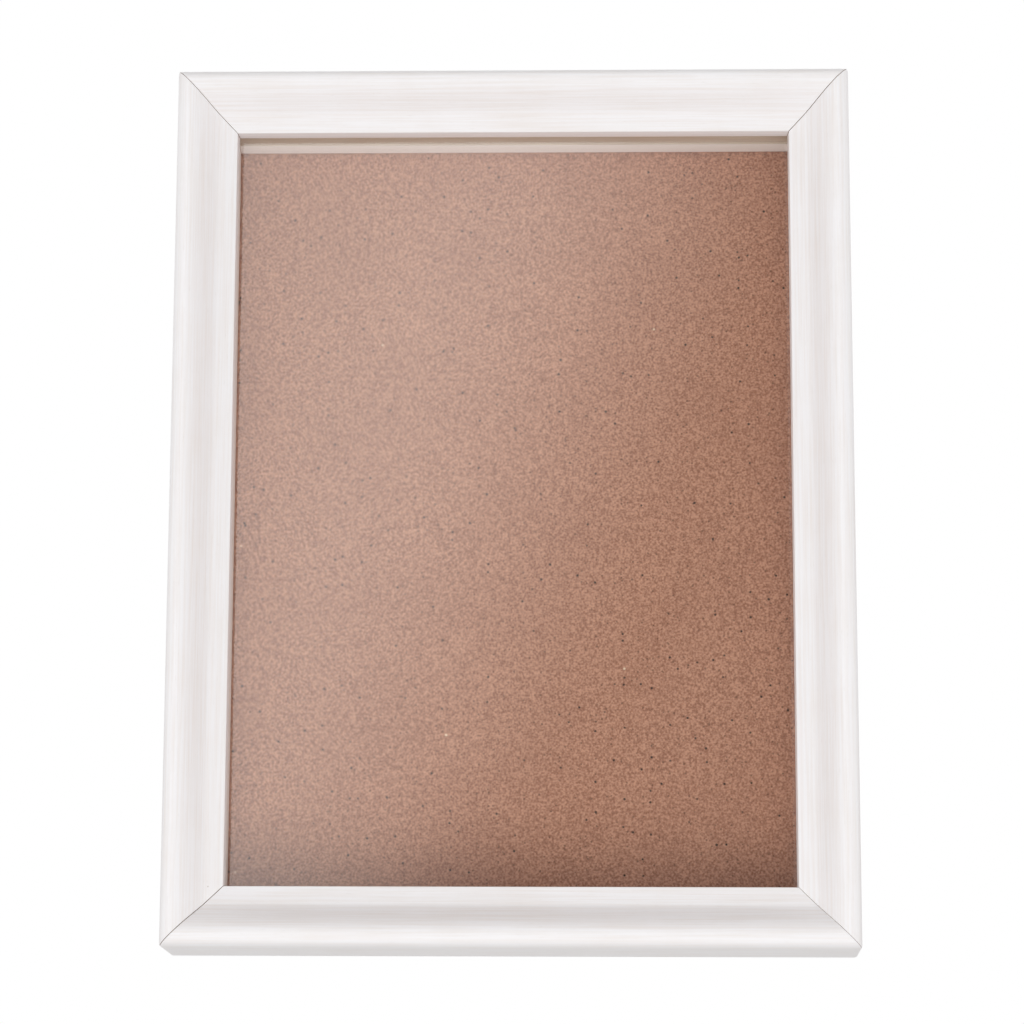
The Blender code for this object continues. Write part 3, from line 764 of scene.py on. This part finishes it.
def bentNail(name, node, grow):
    # A flat strip's section carried along an L: one leg, a quarter circle, the other leg. With a
    # growth of more than nothing it is the tool that cuts the nail's slot.
    low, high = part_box(node)
    alongX = -1 if "left" in node else 1
    alongZ = -1 if "bottom" in node else 1
    thick = cornerNail["thickness"] / 2
    leg = (high.x - low.x) / mm - thick + grow
    bend = cornerNail["bend"]
    turn = np.linspace(0, math.pi / 2, 8)
    path = np.concatenate([
        [(-leg, 0), (-leg / 2, 0)],
        np.stack([-bend + bend * np.sin(turn), -bend + bend * np.cos(turn)], axis=1),
        [(0, -leg / 2), (0, -leg)],
    ])
    heading = np.gradient(path, axis=0)
    heading /= np.linalg.norm(heading, axis=1)[:, None]
    across = np.stack([-heading[:, 1], heading[:, 0]], axis=1)
    half = thick + grow
    length = (high.y - low.y) / mm
    front, rear = -grow, length + grow
    top = rear + cornerNail["slotTop"]
    left, bevel = cornerNail["point"]
    if grow:
        section = np.array([(-half, front), (half, front), (half, top), (-half, top)])
    else:
        section = easedOutline([(-left * half, front), (left * half, front), (half, front + bevel),
                                (half, rear), (-half, rear), (-half, front + bevel)], cornerNail["edge"])
    section = closedLoop(section)
    flat = path[:, None, :] + section[None, :, 0, None] * across[:, None, :]
    cornerX = (high.x if alongX > 0 else low.x) - alongX * thick * mm
    cornerZ = (high.z if alongZ > 0 else low.z) - alongZ * thick * mm
    grid = np.stack([
        cornerX + alongX * flat[:, :, 0] * mm,
        low.y + np.repeat(section[None, :, 1], len(path), axis=0) * mm,
        cornerZ + alongZ * flat[:, :, 1] * mm,
    ], axis=2)
    return surface(name, grid, [galvanised], capped=True)


for row in ("bottom", "top"):
    for column in ("left", "right"):
        node = f"corner_nail_{row}_{column}"
        for side in (row, column):
            cutAway(rails[side], bentNail("slot", node, cornerNail["spare"]))
        settle(bentNail(f"bent_nail_{row}_{column}", node, 0.0), "frame", "galvanised_steel", node)
print("corner nails sunk")

button = {
    "edge": 0.22,                 # rounding of its rim, mm
    "hole": 1.6,                  # radius of the pivot hole
    "dimple": 0.3,                # raised spot near the tip, pressed from below
    "dimpleRadius": 2.2,
    "dimpleUnder": 0.9,           # share of its height on the underside
    "tipFromEnd": 4.6,
    "endTurn": 0.12,              # one round end gives way to the other over this cosine
    "around": 96,
    "rows": 22,                   # from the rim to the hole
}


def pressedButton(name, node, pivotX):
    # Round ends at the pivot and the tip, blended into the pivot hole's circle. The path across goes
    # up the rim, over the face, down through the hole and back underneath, so the plate closes.
    low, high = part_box(node)
    middleZ = (low.z + high.z) / 2
    wide = (high.z - low.z) / 2 / mm
    inwards = 1 if abs(high.x - pivotX) > abs(pivotX - low.x) else -1
    reach = (max(high.x - pivotX, pivotX - low.x)) / mm
    thick = (high.y - low.y) / mm
    angle = np.linspace(0, 2 * math.pi, button["around"] + 1)
    endTurn = button["endTurn"]
    shift = smoothStep((np.cos(angle) + endTurn) / (2 * endTurn)) * (reach - wide)
    edge, rows = button["edge"], button["rows"]
    turn = np.linspace(0, math.pi / 2, 5)
    rim = [(0, edge * (1 - math.cos(t)), thick - edge + edge * math.sin(t)) for t in turn]
    face = [(s, edge, thick) for s in np.linspace(0, 1, rows)[1:-1]]
    lipDown = [(1, edge * math.sin(t), thick - edge + edge * math.cos(t)) for t in turn]
    lipUp = [(1, edge * (1 - math.cos(t)), edge * (1 - math.sin(t))) for t in turn]
    under = [(s, edge, 0) for s in np.linspace(1, 0, rows)[1:-1]]
    rimUp = [(0, edge * math.sin(t), edge * (1 - math.cos(t))) for t in turn[::-1]]
    across = np.array(rim + face + lipDown + lipUp + under + rimUp[:-1] + [rim[0]])
    share, inset, height = (column[:, None] for column in across.T)
    outerX = shift + (wide - inset) * np.cos(angle)
    outerZ = (wide - inset) * np.sin(angle)
    holeRadius = button["hole"] + np.where(share > 0.5, inset, edge)
    x = outerX * (1 - share) + holeRadius * np.cos(angle) * share
    z = outerZ * (1 - share) + holeRadius * np.sin(angle) * share
    away = np.hypot(x - (reach - button["tipFromEnd"]), z)
    pressed = button["dimple"] * (1 - smoothStep(away / button["dimpleRadius"]))
    y = height + np.where(height > thick / 2, pressed, pressed * button["dimpleUnder"])
    grid = np.stack([pivotX + inwards * x * mm, low.y + y * mm, middleZ + z * mm], axis=2)
    return surface(name, grid, [zinc], sharpAngle=50)


screw = {
    "shank": 1.3,                 # radius over the thread, mm
    "core": 0.95,
    "pitch": 1.1,
    "plainNeck": 1.6,             # unthreaded length under the head
    "overPlate": 0.3,             # its head stands this far off the button, which can then turn
    "recess": (0.42, 1.75, 1.15),                  # half width, reach and depth of the cross
    "recessEdge": (0.14, 0.3, 0.45),               # softness of its sides and ends, and its slant
    "dome": (0.35, 0.65),         # shares of the head's height in its rim and in its crown
    "neck": 0.15,                 # the neck is this much thicker than the core
    "shankTop": 0.12,             # and ends this far under the head
    "threadStart": 0.6,           # it rises over this length
    "point": (0.28, 0.8),         # share of the length that tapers, and how blunt it is
    "rows": (44, 150),            # over the dome and down the shank
    "around": 96,
    "spare": 0.3,                 # its hole is this much wider and deeper
    "turn": (0.5, 1.3),           # angle of the first cross, and from each to the next
}


def panScrew(name, node, spinAngle):
    # Rows run from the head's crown to the point: a dome whose height is a rim and a crown times the
    # cosine of the tilt, a cross sunk into it, the flat underside, then a thread whose crest follows
    # height / pitch - angle / one turn
    low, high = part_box(node)
    centre = ((low.x + high.x) / 2, (low.z + high.z) / 2)
    headRadius = (high.x - low.x) / 2 / mm
    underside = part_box(node.replace("button_screw", "turn_button"))[1].y + screw["overPlate"] * mm
    headHeight = (high.y - underside) / mm
    length = (underside - low.y) / mm
    angle = np.linspace(0, 2 * math.pi, screw["around"] + 1)[None, :]
    domeRows, shankRows = screw["rows"]
    rim, crown = screw["dome"]
    tilt = np.linspace(0, math.pi / 2, domeRows)[:, None]
    radius = headRadius * np.sin(tilt)
    height = headHeight * (rim + crown * np.cos(tilt))
    a, b = radius * np.cos(angle - spinAngle), radius * np.sin(angle - spinAngle)
    half, reach, deep = screw["recess"]
    softSide, softEnd, slant = screw["recessEdge"]
    arm = np.maximum(
        smoothStep((half - np.abs(b)) / softSide + 0.5) * smoothStep((reach - np.abs(a)) / softEnd),
        smoothStep((half - np.abs(a)) / softSide + 0.5) * smoothStep((reach - np.abs(b)) / softEnd))
    sink = deep * arm * (1 - slant * radius / reach)
    domeRadius = np.repeat(radius, angle.size, axis=1)
    domeHeight = height - sink
    skirt = np.array([(headRadius, headHeight * 0.2), (headRadius * 0.985, 0.04), (headRadius * 0.95, 0.0),
                      (screw["core"] + screw["neck"], 0.0)])
    skirtRadius = np.repeat(skirt[:, :1], angle.size, axis=1)
    skirtHeight = np.repeat(skirt[:, 1:], angle.size, axis=1)
    down = np.linspace(screw["shankTop"], length, shankRows)[:, None]
    crest = np.abs(((down / screw["pitch"] - angle / (2 * math.pi)) % 1) - 0.5) * 2
    cut = smoothStep((down - screw["plainNeck"]) / screw["threadStart"])
    body = screw["core"] + (screw["shank"] - screw["core"]) * (crest ** 2 * cut)
    pointShare, blunt = screw["point"]
    taper = np.clip((length - down) / (pointShare * length), 0, 1) ** blunt
    shankRadius = body * taper
    rows = np.concatenate([domeRadius, skirtRadius, shankRadius])
    heights = np.concatenate([domeHeight, skirtHeight, np.repeat(-down, angle.size, axis=1)])
    rows[:, -1] = rows[:, 0]
    heights[:, -1] = heights[:, 0]
    grid = np.stack([
        centre[0] + rows * np.cos(angle) * mm,
        underside + heights * mm,
        centre[1] + rows * np.sin(angle) * mm,
    ], axis=2)
    return surface(name, grid, [zinc], sharpAngle=40)


for index, place in enumerate(("left_lower", "left_upper", "right_lower", "right_upper")):
    screwNode = f"button_screw_{place}"
    low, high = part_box(screwNode)
    pivot = ((low.x + high.x) / 2, backY, (low.z + high.z) / 2)
    spare = screw["spare"]
    cutAway(rails[place.split("_")[0]],
            drill("drill", pivot, screw["shank"] + spare, (backY - low.y) / mm + spare))
    settle(pressedButton(f"pressed_button_{place}", f"turn_button_{place}", pivot[0]),
           f"button_{place}", "zinc_plated_steel", f"turn_button_{place}")
    first, further = screw["turn"]
    settle(panScrew(f"pan_screw_{place}", screwNode, first + further * index),
           "frame", "zinc_plated_steel", screwNode)
print("buttons and screws made")

hanger = {
    "foot": 8.0,                  # flat length at each end, mm
    "bow": 2.0,                   # its middle stands this far off the feet
    "thickness": 0.8,
    "tooth": 1.3,                 # depth of a tooth
    "toothSlope": 1.12,           # above 1 the teeth's tips are blunt
    "teeth": 9,
    "toothRows": 12,
    "edge": 0.12,
    "endRound": 1.6,
    "nailShank": 0.7,             # radius
    "headRadius": 1.6,
    "headHeight": 0.6,
    "headDome": (0.3, 0.7),       # shares of that height in its rim and in its crown
    "nailPoint": (1.2, 0.3, 0.25),                 # length of the taper, of its tip, the tip's radius
    "spare": 0.3,                 # the nails' holes are this much wider and deeper
}


def toothedStrip(name, node):
    # A strip's section carried along x. Its middle rises by half a cosine wave, its lower edge is a
    # triangle wave of teeth, and its ends are rounded off with a circle's arc.
    low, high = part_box(node)
    half = (high.x - low.x) / 2 / mm
    tall = (high.z - low.z) / 2 / mm
    span = half - hanger["foot"]
    ends = half - hanger["endRound"] * (1 - np.cos(np.linspace(0, math.pi / 2, 7)))
    toothed = np.linspace(-span, span, hanger["teeth"] * hanger["toothRows"] + 1)
    x = np.concatenate([-ends, np.linspace(-half + hanger["endRound"], -span, 6)[1:-1], toothed,
                        np.linspace(span, half - hanger["endRound"], 6)[1:-1], ends[::-1]])
    rise = np.where(np.abs(x) < span, hanger["bow"] * (1 + np.cos(math.pi * x / span)) / 2, 0)
    wave = np.abs((((x + span) / (2 * span) * hanger["teeth"]) % 1) - 0.5) * 2
    teethCut = hanger["tooth"] * (1 - np.minimum(wave * hanger["toothSlope"], 1))
    cutUp = np.where(np.abs(x) < span, teethCut, 0)
    fromEnd = np.clip((half - np.abs(x)) / hanger["endRound"], 0, 1)
    rounded = hanger["endRound"] * (1 - np.sqrt(1 - (1 - fromEnd) ** 2))
    top = tall - rounded
    bottom = -tall + cutUp + rounded
    edge = hanger["edge"]
    thick = hanger["thickness"]
    turn = np.linspace(0, math.pi / 2, 4)
    loop = ([(1, -edge + edge * math.cos(t), thick - edge + edge * math.sin(t)) for t in turn]
            + [(s, 0, thick) for s in (0.5, 0.0, -0.5)]
            + [(-1, edge - edge * math.sin(t), thick - edge + edge * math.cos(t)) for t in turn]
            + [(-1, edge - edge * math.cos(t), edge - edge * math.sin(t)) for t in turn]
            + [(s, 0, 0) for s in (-0.5, 0.0, 0.5)]
            + [(1, -edge + edge * math.sin(t), edge - edge * math.cos(t)) for t in turn])
    loop = closedLoop(np.array(loop))
    way, shift, height = loop[None, :, 0], loop[None, :, 1], loop[None, :, 2]
    middle, reach = ((top + bottom) / 2)[:, None], ((top - bottom) / 2)[:, None]
    z = middle + way * reach + shift
    grid = np.stack([
        np.repeat(x[:, None], loop.shape[0], axis=1) * mm + (low.x + high.x) / 2,
        low.y + (rise[:, None] + height) * mm,
        (low.z + high.z) / 2 + z * mm,
    ], axis=2)
    return surface(name, grid, [brassed], capped=True)


toothed = toothedStrip("stamped_hanger", "sawtooth_hanger")
for side in ("left", "right"):
    node = f"hanger_nail_{side}"
    low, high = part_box(node)
    spot = ((low.x + high.x) / 2, backY, (low.z + high.z) / 2)
    depth = (backY - low.y) / mm
    shank, spare, headRadius = hanger["nailShank"], hanger["spare"], hanger["headRadius"]
    cutAway(rails["top"], drill("drill", spot, shank + spare, depth + spare))
    cutAway(toothed, drill("drill", spot, shank + spare, 1.0))
    seat = (high.y - backY) / mm - hanger["headHeight"]
    rim, crown = hanger["headDome"]
    taper, tip, tipRadius = hanger["nailPoint"]
    dome = [(headRadius * math.sin(t), seat + hanger["headHeight"] * (rim + crown * math.cos(t)))
            for t in np.linspace(0, math.pi / 2, 12)]
    profile = dome + [(headRadius, seat + 0.08), (headRadius - 0.1, seat), (shank, seat),
                      (shank, taper - depth), (tipRadius, tip - depth), (0, -depth)]
    settle(turnedPiece(f"domed_nail_{side}", profile, spot, [brassed]), "frame", "brassed_steel", node)
settle(toothed, "frame", "brassed_steel", "sawtooth_hanger")
for side in sides:
    settle(rails[side], "frame", "white_stained_wood", f"rail_{side}")
print("hanger made")

stage = {
    "drop": 0.12,                 # from the frame down to the floor, m
    "size": 10.0,
    "colour": "efeeec",
    "speckle": "e9e8e6",
    "speckleScale": 3.0,
    "glow": 0.22,                 # the floor's own light, which keeps it pale
    "fill": (0.50, 0.30),         # light from in front and from behind
    "seam": 0.1,                  # the two meet over this much of the direction's y
    "sideFill": 0.75,             # more from the left and the right, by the square of the direction's x
    "keyPower": 14.2,             # W
    "keySize": 1.5,               # m
    "keyDistance": 1.8,
    "keyBelow": 26.0,             # degrees under the frame's own axis
    "veil": 3.5,                  # a bright window, seen only as a reflection
    "veilDirection": (-0.776, 0.0, 0.63),          # from its near edge to its far one
    "veilWidth": 0.24,            # it brightens over this much of that direction
    "veilEnd": (0.34, 0.6),       # and fades over this much
    "veilRest": 0.25,             # share left beyond its far edge
    "rearSky": ((-0.5, 0.25), (0.7, 1.2)),         # height and strength: what the metal on the back mirrors
    "lens": 99.865,               # mm, on a sensor 36 mm wide
}

floorHalf = stage["size"] / 2
floorMesh = bpy.data.meshes.new("floor")
floorZ = cadBox[0].z - stage["drop"]
floorMesh.from_pydata([(x, y, floorZ) for x, y in ((-floorHalf, -floorHalf), (floorHalf, -floorHalf),
                                                   (floorHalf, floorHalf), (-floorHalf, floorHalf))],
                      [], [(0, 1, 2, 3)])
floor = bpy.data.objects.new("floor", floorMesh)
bpy.context.scene.collection.objects.link(floor)
floorPaint, floorTree, floorShader = startMaterial("floor_painted_matt", 0.9)
speckle = addNode(floorTree, "TexNoise", {"Vector": addNode(floorTree, "TexCoord").outputs["Object"],
                                          "Scale": stage["speckleScale"]})
floorTone = addNode(floorTree, "Mix", {0: speckle.outputs[0], 6: linear(stage["colour"]),
                                       7: linear(stage["speckle"])}, data_type="RGBA").outputs[2]
floorTree.links.new(floorTone, floorShader.inputs["Base Color"])
floorShader.inputs["Emission Color"].default_value = linear(stage["colour"])
floorShader.inputs["Emission Strength"].default_value = stage["glow"]
floorMesh.materials.append(floorPaint)
floor.visible_shadow = False      # the key light stands lower than the floor
floor.visible_diffuse = False

world = bpy.data.worlds.new("studio")
bpy.context.scene.world = world
world.use_nodes = True
sky = world.node_tree
background = sky.nodes["Background"]
direction = addNode(sky, "TexCoord").outputs["Generated"]
rays = addNode(sky, "LightPath")
towardsWindow = addNode(sky, "VectorMath", {0: direction, 1: stage["veilDirection"]},
                        operation="DOT_PRODUCT").outputs["Value"]
nearEdge = addNode(sky, "MapRange", {"Value": towardsWindow, "From Max": stage["veilWidth"],
                                     "To Max": stage["veil"]}, interpolation_type="SMOOTHSTEP")
fadeFrom, fadeTo = stage["veilEnd"]
farEdge = addNode(sky, "MapRange", {"Value": towardsWindow, "From Min": fadeFrom, "From Max": fadeTo,
                                    "To Min": 1.0, "To Max": stage["veilRest"]},
                  interpolation_type="SMOOTHSTEP")
window = addNode(sky, "Math", {0: nearEdge, 1: farEdge}, operation="MULTIPLY")
parts = addNode(sky, "SeparateXYZ", {"Vector": direction})
(rearLow, rearDim), (rearHigh, rearBright) = stage["rearSky"]
rearSky = addNode(sky, "MapRange", {"Value": parts.outputs["Z"], "From Min": rearLow, "From Max": rearHigh,
                                    "To Min": rearDim, "To Max": rearBright},
                  interpolation_type="SMOOTHSTEP")
behind = addNode(sky, "MapRange", {"Value": parts.outputs["Y"], "From Min": -stage["seam"],
                                   "From Max": stage["seam"]})
reflected = addNode(sky, "Mix", {0: behind, 2: window, 3: rearSky})
# the window is seen by a ray that comes off the pane's front, and not by one that has been through it
straight = addNode(sky, "Math", {0: 1.0, 1: rays.outputs["Is Transmission Ray"]}, operation="SUBTRACT")
mirrored = addNode(sky, "Math", {0: rays.outputs["Is Glossy Ray"], 1: straight}, operation="MULTIPLY")
roomLight = addNode(sky, "Mix", {0: behind, 2: stage["fill"][0], 3: stage["fill"][1]})
sideways = addNode(sky, "Math", {0: parts.outputs["X"], 1: parts.outputs["X"]}, operation="MULTIPLY")
soft = addNode(sky, "Math", {0: sideways, 1: stage["sideFill"], 2: roomLight}, operation="MULTIPLY_ADD")
lit = addNode(sky, "Mix", {0: mirrored, 2: soft, 3: reflected})
seen = addNode(sky, "Mix", {0: rays.outputs["Is Camera Ray"], 2: lit, 3: 1.0})
sky.links.new(seen.outputs[0], background.inputs["Strength"])
background.inputs["Color"].default_value = (1, 1, 1, 1)

centre = Vector((0, sightY, centreZ))
below = math.radians(stage["keyBelow"])
lamp = bpy.data.lights.new("key", "AREA")
lamp.shape = "DISK"
lamp.size = stage["keySize"]
lamp.energy = stage["keyPower"]
key = bpy.data.objects.new("key", lamp)
key.visible_glossy = False        # the pane shows the window and not this lamp
key.visible_camera = False
bpy.context.scene.collection.objects.link(key)
key.location = centre + stage["keyDistance"] * Vector((0, -math.cos(below), -math.sin(below)))
key.rotation_euler = (centre - key.location).to_track_quat("-Z", "Y").to_euler()

bpy.context.scene.view_settings.view_transform = "Standard"

# the camera stands a little right of the opening's centre and well below it, measured in opening widths
view = {"right": 0.1301, "down": 0.83775, "out": 4.97054, "pitch": -9.3455, "roll": -1.4879, "yaw": -0.1845}
lens = bpy.data.cameras.new("camera")
lens.lens = stage["lens"]
lens.sensor_width = 36.0
camera = bpy.data.objects.new("camera", lens)
bpy.context.scene.collection.objects.link(camera)
bpy.context.scene.camera = camera
camera.location = centre + 2 * halfWide * Vector((view["right"], -view["out"], -view["down"]))
tilt = (Matrix.Rotation(math.radians(view["yaw"]), 3, "Z")
        @ Matrix.Rotation(math.radians(view["pitch"]), 3, "X")
        @ Matrix.Rotation(math.radians(view["roll"]), 3, "Y"))
camera.rotation_euler = (Matrix.Rotation(math.radians(90), 3, "X") @ tilt.transposed()).to_euler()
print("stage set")
